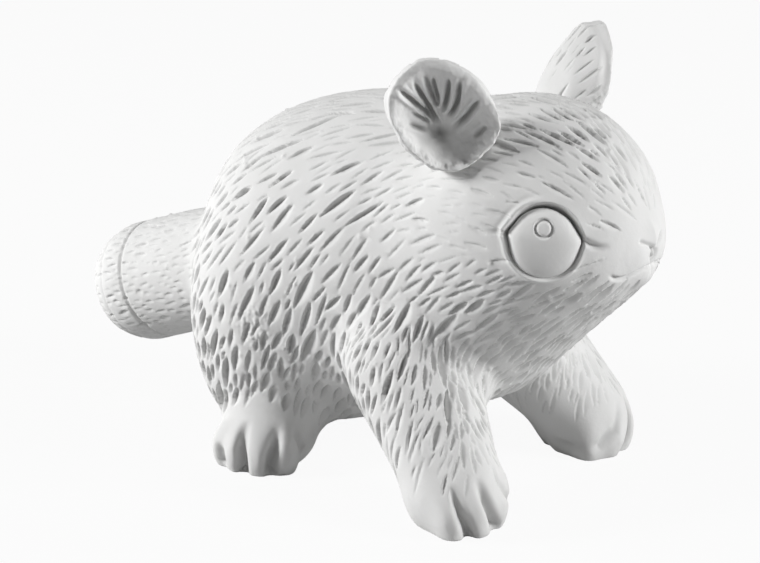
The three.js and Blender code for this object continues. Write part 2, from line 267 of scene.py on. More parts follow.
# Eyes. Each is a flattened button of the same clay, let into its socket, with a small ring pressed
# into it for the glint. The opening is drawn on the right half from the viewpoint, and the left eye
# is the right one's mirror image.
EYE_CENTRE = (544.5, 241.5)
EYE_OPENING_RADIUS = 39.2
EYE_CORNERS = ((-0.5, 2.6), (192, 3.4))
EYE_CORNER_SPREAD = 11
EYE_GAP_TURNS = (-180, -165, -150, -135, -90, -45, -15, 0, 15, 30, 60, 100, 140, 155, 168, 180)
EYE_GAPS = (0.7, 0.6, 0.55, 0.45, 0.35, 0.4, 0.5, 0.85, 1.05, 1.25, 1.4, 1.2, 1.0, 0.95, 1.0, 0.7)
EYE_RIM_DEPTH = 1.5 * mm
EYE_LOWER_LIFT = 0.75 * mm
EYE_DOME = 0.75 * mm
EYE_ROUNDING = 1.2 * mm
EYE_BACK = 0.3 * mm
ABOVE_EYE = 12 * mm
GLINT = (543.8, 228.8)
GLINT_RADIUS = 1.5 * mm
GLINT_DEPTH = 0.6 * mm
GLINT_LINE = 0.28 * mm


def ray_to(x, y):
    """The way from the viewpoint to this pixel of the picture."""
    pixel = viewpoint.data.sensor_width / viewpoint.data.lens / PICTURE_WIDTH
    ray = Vector(((x - PICTURE_WIDTH / 2) * pixel, (PICTURE_HEIGHT / 2 - y) * pixel, -1))
    return viewpoint.rotation_euler.to_matrix() @ ray


def on_clay(x, y, clay=casting):
    """The point of the clay that shows at this pixel of the picture."""
    return np.array(clay.ray_cast(viewpoint.location, ray_to(x, y))[1])


def smooth_line(pixels, closed=False):
    """A curve through these pixels of the picture, in short steps."""
    knots = np.array(pixels, float)
    before = knots[-1:] if closed else 2 * knots[:1] - knots[1:2]
    after = knots[:2] if closed else 2 * knots[-1:] - knots[-2:-1]
    chain = np.concatenate((before, knots, after))
    spans = len(knots) - 1 + closed
    a, b, c, d = (chain[i : i + spans] for i in range(4))
    steps = [
        b + t * ((c - a) + t * (2 * a - 5 * b + 4 * c - d + t * (3 * b - a - 3 * c + d))) / 2
        for t in np.arange(0, 1, 0.2)
    ]
    line = np.stack(steps, 1).reshape(-1, 2)
    return line if closed else np.concatenate((line, knots[-1:]))


bpy.context.view_layer.update()
opening = []
for turn in range(0, 360, 5):
    reach = EYE_OPENING_RADIUS
    for corner, out in EYE_CORNERS:
        off_corner = (turn - corner + 180) % 360 - 180
        reach += out * math.exp(-((off_corner / EYE_CORNER_SPREAD) ** 2))
    a = math.radians(turn)
    x, y = EYE_CENTRE[0] + reach * math.cos(a), EYE_CENTRE[1] + reach * math.sin(a)
    opening.append(on_clay(x, y))
opening = np.array(opening)
eye_middle = opening.mean(0)
eye_out = np.linalg.svd(opening - eye_middle)[2][2]
eye_out *= math.copysign(1, eye_out @ np.array(to_viewer))
eye_up = np.array((0, 0, 1)) - eye_out[2] * eye_out
eye_up /= np.linalg.norm(eye_up)
eye_front = np.cross(eye_up, eye_out)


def eye_edge_at(angle):
    """How far the eye opening's edge is from its middle, at an angle from the front corner."""
    front, up = (opening - eye_middle) @ eye_front, (opening - eye_middle) @ eye_up
    return np.interp(angle, np.arctan2(up, front), np.hypot(up, front), period=2 * math.pi)


bpy.ops.object.select_all(action="DESELECT")
bpy.ops.mesh.primitive_uv_sphere_add(segments=180, ring_count=140, radius=1)
eye_right = bpy.context.object
eye_right.name = "bisque_eye_right"
ball = points_of(eye_right)
shown = ball[:, 2] > 0
eye_angle = np.arctan2(ball[:, 1], ball[:, 0])
from_middle = np.hypot(ball[:, 0], ball[:, 1])
eye_gap = np.interp(np.degrees(eye_angle), EYE_GAP_TURNS, EYE_GAPS) * mm
reach = from_middle * (eye_edge_at(eye_angle) - eye_gap)
flat = eye_middle + reach[:, None] * (
    np.cos(eye_angle)[:, None] * eye_front + np.sin(eye_angle)[:, None] * eye_up
)
above = flat + ABOVE_EYE * eye_out
skin = np.array([casting.ray_cast(Vector(p), Vector(-eye_out))[1] for p in above])
bluntness = 10 - 6 * ramp(np.sin(eye_angle), -0.1, 0.8)
lift = EYE_LOWER_LIFT * ramp(np.sin(eye_angle), -0.3, -0.85)
rounded = np.sqrt(np.clip(1 - from_middle**bluntness, 0, 1))
level = np.where(
    shown,
    EYE_DOME * (1 - from_middle**2) + (EYE_ROUNDING - lift) * rounded,
    -EYE_BACK * np.sqrt(np.abs(ball[:, 2])),
) + lift - EYE_RIM_DEPTH
from_glint = np.linalg.norm(skin - on_clay(*GLINT), axis=1)
ring = np.exp(-(((from_glint - GLINT_RADIUS) / GLINT_LINE) ** 2))
level -= np.where(shown, GLINT_DEPTH * ring, 0)
press(eye_right, skin + level[:, None] * eye_out)
# Painted shade in the groove of the glint ring.
mark(eye_right, "painted_cut_shade", np.where(shown, 0.4 * ring, 0))
bpy.ops.object.shade_smooth()
eye_right.data.materials.append(cast_bisque)


def mirrored(piece, name):
    """A copy of a right-hand piece, mirrored to the left."""
    bpy.ops.object.select_all(action="DESELECT")
    twin = piece.copy()
    twin.data = piece.data.copy()
    twin.name = name
    bpy.context.scene.collection.objects.link(twin)
    press(twin, points_of(twin) * (-1, 1, 1))
    twin.select_set(True)
    bpy.context.view_layer.objects.active = twin
    bpy.ops.object.mode_set(mode="EDIT")
    bpy.ops.mesh.select_all(action="SELECT")
    bpy.ops.mesh.flip_normals()
    bpy.ops.object.mode_set(mode="OBJECT")
    return twin


eye_left = mirrored(eye_right, "bisque_eye_left")
for piece, node in ((eye_right, "eye_right"), (eye_left, "eye_left")):
    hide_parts(node)
    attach(piece, "root")

# Face. The eye sockets, the folds of the lids, the nose and the mouth are modelled with a loop tool
# and a needle in the damp clay, the same on both halves.
EYE_REGION = 16 * mm
FINE_EDGE = 0.9 * mm
FINE_NOSE = 8 * mm
SOCKET_DEPTH = 2.6 * mm
LEDGE_DEPTH = 1.0 * mm
LID_HEIGHT = 0.28 * mm
LID_CREASE = 0.14 * mm
LOWER_LID_HEIGHT = 0.2 * mm
NOSE_TIP = (653, 248)
NOSE_BALL = (656, 235)
NOSE_WING = ((654, 248), (647, 245), (638, 241))
PHILTRUM = ((653, 247), (651, 255), (653, 264))
WHISKER_PAD = (641, 257)
MOUTH = ((653, 263), (645, 267), (635, 273), (625, 278), (616, 279), (608, 275))
MOUTH_DENT = (655, 263)
CHIN = (645, 277)
EYE_CREASE = ((582, 238), (590, 244), (599, 247), (612, 246))
OUTER_CREASE = ((507, 234), (497, 232), (481, 231))


def from_line(line, points, reach):
    """How far each point is from the line, up to reach, and its share of the way along it."""
    gap = np.full(len(points), reach)
    along = np.zeros(len(points))
    near = np.flatnonzero(((points > line.min(0) - reach) & (points < line.max(0) + reach)).all(1))
    for i, (a, b) in enumerate(zip(line, line[1:])):
        share = np.clip((points[near] - a) @ (b - a) / ((b - a) @ (b - a)), 0, 1)
        distance = np.linalg.norm(points[near] - a - share[:, None] * (b - a), axis=1)
        closer = distance < gap[near]
        gap[near[closer]] = distance[closer]
        along[near[closer]] = (i + share[closer]) / (len(line) - 1)
    return gap, along


def groove(pixels, depth, half_width, points, fade=(0.25, 0.25), clay=casting, crest=0):
    """The depth of a groove along these pixels. It runs out over a share of its length at its start
    and end, and has a crest of a share of its depth along both sides."""
    line = np.array([on_clay(x, y, clay) for x, y in smooth_line(pixels)])
    gap, along = from_line(line, points, 4 * half_width)
    runout = ramp(along, -0.01, fade[0]) * ramp(along, 1.01, 1 - fade[1])
    section = np.exp(-((gap / half_width) ** 2)) - crest * np.exp(-((gap / half_width - 2.2) ** 2))
    return depth * section * runout


def only(piece):
    """Selects this piece alone."""
    bpy.ops.object.select_all(action="DESELECT")
    piece.select_set(True)
    bpy.context.view_layer.objects.active = piece


def refine(clay, chosen):
    """Splits the faces between these points, for finer work there."""
    only(clay)
    bpy.context.tool_settings.mesh_select_mode = (True, False, False)
    bpy.ops.object.mode_set(mode="EDIT")
    bpy.ops.mesh.select_all(action="DESELECT")
    bpy.ops.object.mode_set(mode="OBJECT")
    clay.data.vertices.foreach_set("select", chosen)
    bpy.ops.object.mode_set(mode="EDIT")
    bpy.ops.mesh.subdivide(number_cuts=1, ngon=False)
    bpy.ops.object.mode_set(mode="OBJECT")


def right_half(points):
    """The points, with those of the left half mirrored to the right."""
    return points * np.where(points[:, :1] > 0, (-1, 1, 1), 1)


def around_eye(points):
    """The angle of points around the eye's middle, and how far they are outside its opening."""
    front, up = (points - eye_middle) @ eye_front, (points - eye_middle) @ eye_up
    angle = np.arctan2(up, front)
    return angle, np.hypot(front, up) - eye_edge_at(angle)


nose = on_clay(*NOSE_TIP) * (0, 1, 1)
half = right_half(points_of(casting))
_, off_edge = around_eye(half)
near_eye = np.linalg.norm(half - eye_middle, axis=1) < EYE_REGION
near_nose = np.linalg.norm(half - nose, axis=1) < FINE_NOSE
refine(casting, (np.abs(off_edge) < FINE_EDGE) & near_eye | near_nose)

surface = points_of(casting)
half = right_half(surface)
lid_angle, off_edge = around_eye(half)
lid_degrees = np.degrees(lid_angle)
upper_back = ramp(lid_degrees, 85, 120) * ramp(lid_degrees, 180, 165)
lower = ramp(np.abs(np.abs(lid_degrees + 110) - 180), 80, 110)
ledge = ramp(np.sin(lid_angle), -0.3, -0.85) * ramp(off_edge, -1.0 * mm, -0.8 * mm)
lids = (ledge * (SOCKET_DEPTH - LEDGE_DEPTH) - SOCKET_DEPTH) * ramp(off_edge, 0.1 * mm, -0.28 * mm)
lids += LID_HEIGHT * upper_back * np.exp(-(((off_edge - 0.45 * mm) / (0.4 * mm)) ** 2))
lids -= LID_CREASE * upper_back * np.exp(-(((off_edge - 1.3 * mm) / (0.4 * mm)) ** 2))
lids += LOWER_LID_HEIGHT * lower * np.exp(-(((off_edge - 0.35 * mm) / (0.33 * mm)) ** 2))
relief = np.where(np.linalg.norm(half - eye_middle, axis=1) < EYE_REGION, lids, 0)


def swelling(pixel, rise, radius):
    """A soft bump around this pixel of the picture, on both halves."""
    return rise * np.exp(-((np.linalg.norm(half - on_clay(*pixel), axis=1) / radius) ** 2))


relief += swelling(NOSE_BALL, 1.0 * mm, 2.6 * mm)
relief += swelling(WHISKER_PAD, 0.45 * mm, 2.6 * mm)
relief += swelling(CHIN, 0.8 * mm, 2.6 * mm)
relief -= swelling(MOUTH_DENT, 1.3 * mm, 1.5 * mm)
relief -= groove(NOSE_WING, 0.75 * mm, 0.45 * mm, half)
relief -= groove(PHILTRUM, 0.8 * mm, 0.5 * mm, half, fade=(0.05, 0.05))
relief -= groove(MOUTH, 1.0 * mm, 0.36 * mm, half)
relief -= groove(EYE_CREASE, 1.1 * mm, 0.5 * mm, half, fade=(0.2, 0.5))
relief -= groove(OUTER_CREASE, 0.5 * mm, 0.35 * mm, half, fade=(0.1, 0.6))

# Paws and feet. The toes are parted by strokes of a wooden tool, drawn down from the instep to the
# ground. The soles are flat, from drying on a board.
PAW_CLEFTS = (
    ((451, 482), (454, 496), (460, 512), (467, 526), (470, 537)),
    ((474, 474), (483, 493), (492, 512), (497, 528)),
    ((489, 470), (500, 483), (508, 495), (510, 506)),
)
FOOT_CLEFTS = (
    ((218, 440), (220, 450), (223, 461)),
    ((251, 417), (244, 431), (241, 448), (242, 462), (243, 471)),
    ((279, 421), (276, 437), (273, 452), (271, 463), (270, 471)),
    ((293, 421), (298, 436), (303, 450)),
)
PAW_DEPTHS = (2.2, 2.1, 0.8)
FOOT_DEPTHS = (1.2, 2.0, 2.1, 0.7)
PAW_CLEFT_WIDTH = 0.95 * mm
FOOT_CLEFT_WIDTH = 1.0 * mm
CLEFT_FADE = (0.6, 0.02)
SOLE_FILL = 1.2 * mm
SOLE_HEIGHT = 7 * mm

for cleft, depth in zip(PAW_CLEFTS, PAW_DEPTHS):
    relief -= groove(cleft, depth * mm, PAW_CLEFT_WIDTH, half, fade=CLEFT_FADE)
for cleft, depth in zip(FOOT_CLEFTS, FOOT_DEPTHS):
    relief -= groove(cleft, depth * mm, FOOT_CLEFT_WIDTH, half, fade=CLEFT_FADE)
sole = SOLE_FILL * np.clip(1 - surface[:, 2] / SOLE_HEIGHT, 0, 1) ** 2

# Tail. A fat stump with a rounded end, stuck to the rump. Two rings are scored around it with a
# needle while it turns.
TAIL_ROOT = np.array((0, 26.4, 34.5)) * mm
TAIL_SLOPE = math.radians(20)
TAIL_WAY = np.array((0, math.cos(TAIL_SLOPE), -math.sin(TAIL_SLOPE)))
TAIL_LENGTH = 45 * mm
TAIL_RINGS = ((9.7 * mm, 0.2 * mm, 0.4 * mm), (16.6 * mm, 0.55 * mm, 0.42 * mm))

down_tail = (surface - TAIL_ROOT) @ TAIL_WAY
for setback, depth, half_width in TAIL_RINGS:
    off_ring = (down_tail - TAIL_LENGTH + setback) / half_width
    relief -= depth * np.exp(-(off_ring**2)) * (marked(casting, "tail") > 0.5)
carved = surface + relief[:, None] * normals_of(casting) - sole[:, None] * (0, 0, 1)
carved[:, 2] = np.maximum(carved[:, 2], 0)
press(casting, carved)

# Fur. The coat is cut into the damp clay with a small loop tool, stroke by stroke, from the nose
# backwards and down to the feet. A stroke has one steep wall and one gentle slope, runs out to a
# point at both ends, and pushes up a thin burr along its wall.
HAND_SEED = 11
STROKE_TRIES = 30000
STROKE_PASSES = (1.0, 0.85, 0.7)
STROKE_CELL = 8 * mm
FIRST_LENGTH = 1.05
FIRST_WIDTH = 1.1
HEAVIEST = 0.45
LIGHTEST = -0.6
END_ROOM = 0.9
SLOPE_REACH = 2.4
BURR_HEIGHT = 0.18
SINK_SHARE = 0.35
SINK_ROUNDS = 8
NECK = (452, 215)
RUBBED_PATCH = (251, 322)
CRUMBS = 90

hand = np.random.default_rng(HAND_SEED)


def finder_of(points):
    """A finder of the points that are near a place."""
    finder = kdtree.KDTree(len(points))
    for i, p in enumerate(points):
        finder.insert(p, i)
    finder.balance()
    return finder


def comb(clay, lie, length, width, depth, fill, room, tries, firsts=()):
    """Cuts strokes along lie into the clay, the first ones at the points firsts. Half their length
    and width and their depth are in mm, fill is how likely one is, and room how far apart they
    stay, all for each point."""
    points, outward = points_of(clay), normals_of(clay)
    lie = lie - (lie * outward).sum(1)[:, None] * outward
    lie /= np.linalg.norm(lie, axis=1, keepdims=True) + 1e-9
    taken, strokes = {}, []
    passes = [(i, 0) for i in firsts]
    for scale in STROKE_PASSES:
        passes += [(i, scale) for i in hand.integers(len(points), size=int(tries * scale))]
    for i, scale in passes:
        if scale and hand.random() > fill[i]:
            continue
        weight = min(max(hand.normal(0, 0.3), LIGHTEST), HEAVIEST)
        longer = math.exp(0.4 * weight + hand.normal(0, 0.22))
        wider = math.exp(0.6 * weight + hand.normal(0, 0.15))
        half_length = length[i] * (scale or FIRST_LENGTH) * longer
        half_width = width[i] * (scale or FIRST_WIDTH) * wider
        turn = hand.normal(0, 0.1)
        way = lie[i] * math.cos(turn) + np.cross(outward[i], lie[i]) * math.sin(turn)
        aside = np.cross(outward[i], way)
        aside *= math.copysign(1, aside[1] + aside[2])
        cell = (points[i] // STROKE_CELL).astype(int)
        around = [
            s for x in (-1, 0, 1) for y in (-1, 0, 1) for z in (-1, 0, 1)
            for s in taken.get((cell[0] + x, cell[1] + y, cell[2] + z), ())
        ]
        if around and scale:
            others = np.array(around)
            offset = (points[i] - others[:, :3]) / mm
            u = offset @ way / (half_length + others[:, 3]) / END_ROOM
            v = offset @ aside / (half_width + others[:, 4]) / room[i]
            if (u * u + v * v).min() < 1:
                continue
        taken.setdefault(tuple(cell), []).append((*points[i], half_length, half_width))
        deeper = math.exp(weight + hand.normal(0, 0.15))
        deep = depth[i] * (scale or FIRST_WIDTH) ** 0.5 * deeper
        strokes.append((i, way, aside, half_length, half_width, deep))
    finder = finder_of(points)
    cut, burr, painted_wall_shade = np.zeros((3, len(points)))
    for i, way, aside, half_length, half_width, deep in strokes:
        reach = (half_length + half_width) * 1.2 * mm
        near = np.array([found[1] for found in finder.find_range(points[i], reach)])
        offset = (points[near] - points[i]) / mm
        u = offset @ way / half_length
        spread = np.clip(1 - u * u, 0.03, 1) * (1 - 0.15 * u)
        v = offset @ aside / half_width / spread
        steep = np.clip(1 - ((v - 0.5) / 0.5) ** 2, 0, 1)
        gentle = np.clip(1 - (0.5 - v) / SLOPE_REACH, 0, 1) ** 1.4
        ends = np.clip(1 - u * u, 0, 1) ** 0.6
        hollow = deep * np.where(v > 0.5, steep, gentle) * ends
        same_side = outward[near] @ outward[i] > 0.3
        inside = (np.abs(u) < 1) & (v < 1) & same_side
        cut[near] = np.maximum(cut[near], np.where(inside, hollow, 0))
        lip = BURR_HEIGHT * deep * np.exp(-(((v - 1.2) / 0.25) ** 2))
        lip *= ramp(np.abs(u), 1.1, 0.7) * same_side
        burr[near] = np.maximum(burr[near], lip)
        # Painted shade along the steep wall and bottom of each stroke, where its shadow falls.
        wall = min(1, deep / 0.5) * np.clip(1 - np.abs(v - 0.6) / 0.6, 0, 1)
        wall *= ends * same_side
        painted_wall_shade[near] = np.maximum(painted_wall_shade[near], wall)
    burr *= cut < 0.02
    sunk, mean = cut, neighbour_mean(clay)
    for _ in range(SINK_ROUNDS):
        sunk = mean(sunk)
    press(clay, points + outward * ((burr - cut - SINK_SHARE * sunk) * mm)[:, None])
    mark(clay, "painted_cut_shade", painted_wall_shade)


surface = points_of(casting)
outward = normals_of(casting)
half = right_half(surface)
height = surface[:, 2] / mm
from_nose = surface - nose
nose_distance = np.linalg.norm(from_nose, axis=1) / mm
eye_distance = np.linalg.norm(half - eye_middle, axis=1) / mm
on_leg = ramp(marked(casting, "foreleg"), 0.3, 0.7)
on_tail = ramp(marked(casting, "tail"), 0.3, 0.7)

# Which way the hair lies
slant = np.interp(height, (12, 25, 42, 58, 70, 80), (4.0, 3.0, 1.5, 0.95, 0.55, 0.15))
lie = np.stack((np.zeros(len(surface)), np.ones(len(surface)), -slant), 1)
lie /= np.linalg.norm(lie, axis=1, keepdims=True)
on_face = ramp(nose_distance, 58, 34)
lie += (from_nose / nose_distance[:, None] / mm - lie) * on_face[:, None]
lie[:, 2] -= 0.5 * on_face * ramp(height, 56, 48)
lie += (np.array((0, 0.2, -1)) - lie) * on_leg[:, None]
lie += (TAIL_WAY - lie) * on_tail[:, None]

# Half the length and width of the strokes, their depth, how likely they are and how far apart they
# stay: the flank's, and what changes in the other parts of the coat
forehead = 0.8 * ramp(-half[:, 0] / mm, 13, 7) * ramp(height, 60, 66)
crown = on_face * np.maximum(ramp(height, 69, 74), forehead)
neck = np.exp(-((np.linalg.norm(half - on_clay(*NECK), axis=1) / (11 * mm)) ** 4))
low = ramp(height, 44, 26) * (1 - on_face) * (1 - on_tail) * (1 - on_leg)
top = ramp(height, 56, 70) * (1 - on_face)
cheek = on_face * ramp(height, 54, 47)
brow = on_face - cheek
flank_coat = (3.4, 0.5, 0.52, 0.7, 2.1)
coat_changes = (
    (low, (-0.5, 0.2, 0.2, 0.3, -0.85)),
    (top, (0.7, -0.1, -0.2, 0.1, -0.4)),
    (cheek, (-0.2, -0.03, 0.02, 0.25, -0.8)),
    (brow, (-1.0, -0.13, -0.22, -0.3, 0)),
    (on_leg, (-0.5, -0.02, 0.14, 0.25, -0.5)),
    (on_tail, (-1.8, -0.11, -0.28, -0.1, -0.3)),
)
coat = [np.full(len(surface), value) for value in flank_coat]
for part, changes in coat_changes:
    coat = [value + change * part for value, change in zip(coat, changes)]
length, width, depth, fill, room = coat
fill *= 1 - 0.4 * neck
depth *= 1 - 0.3 * neck
depth *= 1 - on_leg * np.maximum(0.6 * ramp(height, 24, 12), 0.5 * (surface[:, 0] > 0))
depth += 0.3 * crown
length += 0.8 * crown
width += 0.12 * crown
fill += 0.4 * crown
room -= 0.7 * crown
from_patch = np.linalg.norm(surface - on_clay(*RUBBED_PATCH), axis=1) / mm
patch = np.exp(-((from_patch / 4.2) ** 4))
fill *= 1 - 0.7 * patch
muzzle = 8 + 6 * ramp(height, 61, 55) * ramp(height, 45.5, 48)
fill *= ramp(nose_distance - muzzle, 0, 3) * ramp(eye_distance, 8.4, 10)
ragged = height + 2 * np.sin(surface[:, 0] / (1.3 * mm)) + 2 * np.sin(surface[:, 1] / (1.1 * mm))
above_paw = np.where(on_leg > 0.5, ramp(ragged, 10, 16), 1)
fill *= above_paw * ramp(marked(casting, "hind_foot"), 0.5, 0.35)
fill *= np.where(outward[:, 2] < -0.55, 0.35, 1)
fill *= np.where(on_tail > 0.5, ramp(down_tail, TAIL_LENGTH - 3 * mm, TAIL_LENGTH - 9 * mm), 1)

# The main strokes lie where the solid has them: at the deepest points of its cuts
firsts, found = [], []
finder = finder_of(surface)
for node in ("torso", "foreleg_right", "foreleg_left"):
    for corner in {tuple(v.co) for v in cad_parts[node].data.vertices}:
        _, i, _ = finder.find(corner)
        inward = (surface[i] - np.array(corner)) @ outward[i]
        if 0.35 * mm < inward < 1.2 * mm and fill[i] > 0.3:
            found.append((-inward, i))
for inward, i in sorted(found):
    if all(np.linalg.norm(surface[i] - surface[j]) > 3 * mm for j in firsts):
        firsts.append(i)
comb(casting, lie, length, width, depth, fill, room, STROKE_TRIES, firsts)
# Painted shade in the eye sockets and in every groove and dent of the face, toes and tail, darker
# the deeper they are.
painted_groove_shade = np.clip(-0.5 * relief / mm, 0, 0.5)
mark(casting, "painted_cut_shade", np.maximum(marked(casting, "painted_cut_shade"), painted_groove_shade))

# Crumbs of clay that the tool left, and a patch that was rubbed before it was dry
bumps = np.zeros(len(surface))
chance = fill * (height > 20)
for i in hand.choice(len(surface), CRUMBS, p=chance / chance.sum()):
    radius = hand.uniform(0.3, 0.5)
    for _, j, gap in finder.find_range(surface[i], 2 * radius * mm):
        bumps[j] = max(bumps[j], 0.7 * radius * mm * math.exp(-((gap / (radius * mm)) ** 2)))
for i in np.flatnonzero(patch > 0.05):
    bumps[i] += 0.7 * mm * patch[i] * abs(noise.noise(Vector(surface[i]) / (1.1 * mm)))
furred = points_of(casting) + bumps[:, None] * outward
furred[:, 2] = np.maximum(furred[:, 2], 0)
press(casting, furred)

# Parting. The carved lump is parted along the slip joints into the pieces that were cast, and each
# piece is closed where it was stuck to the next one. The torso keeps fewer triangles.
TORSO_TRIANGLES = 185000
CAP_WALL = 0.8 * mm
CAP_SINK = 3 * mm
MOST_SIDES = 12

torso_share = marked(casting, "torso")
plain = casting.vertex_groups.new(name="plain")
plain.add(np.flatnonzero(torso_share > 0.6).tolist(), 1, "REPLACE")
triangles_before = 2 * len(casting.data.polygons)
torso_before = 2 * (torso_share > 0.5).sum()
work(
    casting, "DECIMATE", ratio=1 - (torso_before - TORSO_TRIANGLES) / triangles_before,
    vertex_group="plain", vertex_group_factor=1,
)
casting.vertex_groups.clear()
whole_normals = casting.data.attributes.new("whole_normal", "FLOAT_VECTOR", "POINT")
whole_normals.data.foreach_set("vector", normals_of(casting).ravel())
bpy.context.tool_settings.mesh_select_mode = (False, False, True)


def part_off(name, group, side):
    """Parts the faces that belong to a group on one side of the figure off the casting."""
    mesh = casting.data
    corners = np.zeros(len(mesh.loops), int)
    mesh.loops.foreach_get("vertex_index", corners)
    starts = np.zeros(len(mesh.polygons), int)
    mesh.polygons.foreach_get("loop_start", starts)
    chosen = np.minimum.reduceat(marked(casting, group)[corners], starts) > 0.5
    if side:
        chosen &= side * points_of(casting)[corners[starts], 0] > 0
    only(casting)
    bpy.ops.object.mode_set(mode="EDIT")
    bpy.ops.mesh.select_all(action="DESELECT")
    bpy.ops.object.mode_set(mode="OBJECT")
    mesh.polygons.foreach_set("select", chosen)
    bpy.ops.object.mode_set(mode="EDIT")
    bpy.ops.mesh.separate(type="SELECTED")
    bpy.ops.object.mode_set(mode="OBJECT")
    piece = [o for o in bpy.context.selected_objects if o != casting][0]
    piece.name = name
    return piece


def whole_normals_of(piece):
    """The normals that the piece's points had on the whole casting."""
    normals = np.zeros(len(piece.data.vertices) * 3)
    piece.data.attributes["whole_normal"].data.foreach_get("vector", normals)
    return normals.reshape(-1, 3)


def close(piece):
    """Closes the openings that parting left with caps, sunk a little into the piece."""
    only(piece)
    bpy.ops.object.mode_set(mode="EDIT")
    bpy.ops.mesh.select_mode(type="EDGE")
    bpy.ops.mesh.select_all(action="DESELECT")
    bpy.ops.mesh.select_non_manifold(
        use_wire=False, use_multi_face=False, use_non_contiguous=False, use_verts=False
    )
    bpy.ops.mesh.extrude_edges_move()
    bpy.ops.object.mode_set(mode="OBJECT")
    turned_in = np.zeros(len(piece.data.vertices), bool)
    piece.data.vertices.foreach_get("select", turned_in)
    press(piece, points_of(piece) - CAP_WALL * turned_in[:, None] * whole_normals_of(piece))
    bpy.ops.object.mode_set(mode="EDIT")
    bpy.ops.mesh.select_all(action="SELECT")
    bpy.ops.mesh.fill_holes(sides=0)
    bpy.ops.mesh.select_mode(type="FACE")
    bpy.ops.mesh.select_all(action="DESELECT")
    bpy.ops.object.mode_set(mode="OBJECT")
    sides = np.zeros(len(piece.data.polygons), int)
    piece.data.polygons.foreach_get("loop_total", sides)
    piece.data.polygons.foreach_set("select", sides > MOST_SIDES)
    bpy.ops.object.mode_set(mode="EDIT")
    bpy.ops.mesh.poke(offset=-CAP_SINK, use_relative_offset=False, center_mode="MEDIAN")
    bpy.ops.object.mode_set(mode="OBJECT")
    bpy.ops.object.shade_smooth()
    piece.data.normals_split_custom_set_from_vertices(whole_normals_of(piece))
    for name in (*groups, "whole_normal"):
        piece.data.attributes.remove(piece.data.attributes[name])
    piece.data.materials.clear()
    piece.data.materials.append(cast_bisque)


cast_pieces = {
    "head": part_off("bisque_head", "head", 0),
    "tail": part_off("bisque_tail", "tail", 0),
    "foreleg_right": part_off("bisque_foreleg_right", "foreleg", -1),
    "foreleg_left": part_off("bisque_foreleg_left", "foreleg", 1),
    "hind_foot_right": part_off("bisque_hind_foot_right", "hind_foot", -1),
    "hind_foot_left": part_off("bisque_hind_foot_left", "hind_foot", 1),
}
cast_pieces["torso"] = casting
casting.name = "bisque_torso"
for node, piece in cast_pieces.items():
    close(piece)
    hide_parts(node)
    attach(piece, "root")

# Ears. Each is a thick oval cup, pinched from a ball of clay and stuck to the side of the crown,
# with folds pressed into its hollow and a smooth rolled rim. The left ear mirrors the right one,
# bent a little forward.
EAR_MIDDLE = np.array((-24.9, -39.6, 78.3)) * mm
EAR_SPREAD = math.radians(52)
EAR_DIP = math.radians(8)
EAR_SLOPE = 0.7
EAR_RADIUS = 10.7 * mm
EAR_OUTLINE = (
    (426, 56), (442, 57), (458, 63), (473, 73), (483, 83), (491, 96), (498, 109), (502, 124),
    (499, 138), (486, 153), (470, 167), (455, 171), (437, 170), (422, 162), (407, 150), (396, 135),
    (389, 120), (386, 105), (387, 92), (395, 77), (407, 65), (416, 59),
)
EAR_RIM_TURNS = (-180, -90, -20, 30, 90, 150, 180)
EAR_RIM_WIDTHS = (1.2, 0.7, 1.2, 2.2, 3.0, 2.2, 1.2)
EAR_BOWL = 5.0 * mm
EAR_CREST = 0.6
EAR_BEND = np.array((0.8, -1.1, -1.0)) * mm
EAR_HOLLOW = (440, 128)
EAR_FOLDS = (
    ((395, 86), (408, 97), (426, 111), (436, 122)),
    ((412, 76), (419, 90), (427, 103), (435, 117), (438, 125)),
    ((425, 73), (428, 83), (433, 97), (438, 110)),
    ((433, 74), (434, 85), (437, 95), (440, 108)),
    ((448, 75), (448, 88), (446, 102), (442, 114)),
    ((462, 76), (459, 88), (457, 102), (452, 112), (446, 118)),
    ((483, 97), (473, 108), (465, 118), (450, 130)),
    ((488, 126), (482, 130), (473, 138)),
    ((407, 123), (418, 127), (428, 130)),
    ((410, 111), (422, 117), (432, 122)),
)
EAR_FOLD_DEPTHS = (1.3, 1.5, 1.0, 1.3, 1.4, 1.5, 1.3, 0.8, 0.8, 0.8)
EAR_FOLD_WIDTH = 0.44 * mm
EAR_GRID = 0.4 * mm
EAR_SPONGE_ROUNDS = 8
EAR_BACK_ROUNDS = 30
EAR_WIPE_ROUNDS = 10
EAR_FULLNESS = 1.5 * mm
EAR_PIT = 1.6 * mm
EAR_RIM_DROP = 0.5 * mm
EAR_STROKE_TRIES = 500

ear_out = np.array((
    -math.sin(EAR_SPREAD) * math.cos(EAR_DIP),
    -math.cos(EAR_SPREAD) * math.cos(EAR_DIP),
    -math.sin(EAR_DIP),
))
ear_up = np.array((0, 0, 1)) - ear_out[2] * ear_out
ear_up /= np.linalg.norm(ear_up)
ear_front = np.cross(ear_up, ear_out)
ear_right = clay_copy("bisque_ear_right", "ear_right")
work(ear_right, "REMESH", mode="VOXEL", voxel_size=EAR_GRID)
soften = neighbour_mean(ear_right)
cup = points_of(ear_right)
for _ in range(EAR_SPONGE_ROUNDS):
    cup = (cup + soften(cup)) / 2
press(ear_right, cup)
smooth_back = ramp(normals_of(ear_right) @ ear_out, 0.5, 0.1)[:, None]
for _ in range(EAR_BACK_ROUNDS):
    cup += smooth_back * (soften(cup) - cup) / 2


def in_ear(points):
    """How far points are forward, up the slope and out from the middle of the ear's rim."""
    out = (points - EAR_MIDDLE) @ ear_out
    return (points - EAR_MIDDLE) @ ear_front, (points - EAR_MIDDLE) @ ear_up - EAR_SLOPE * out, out


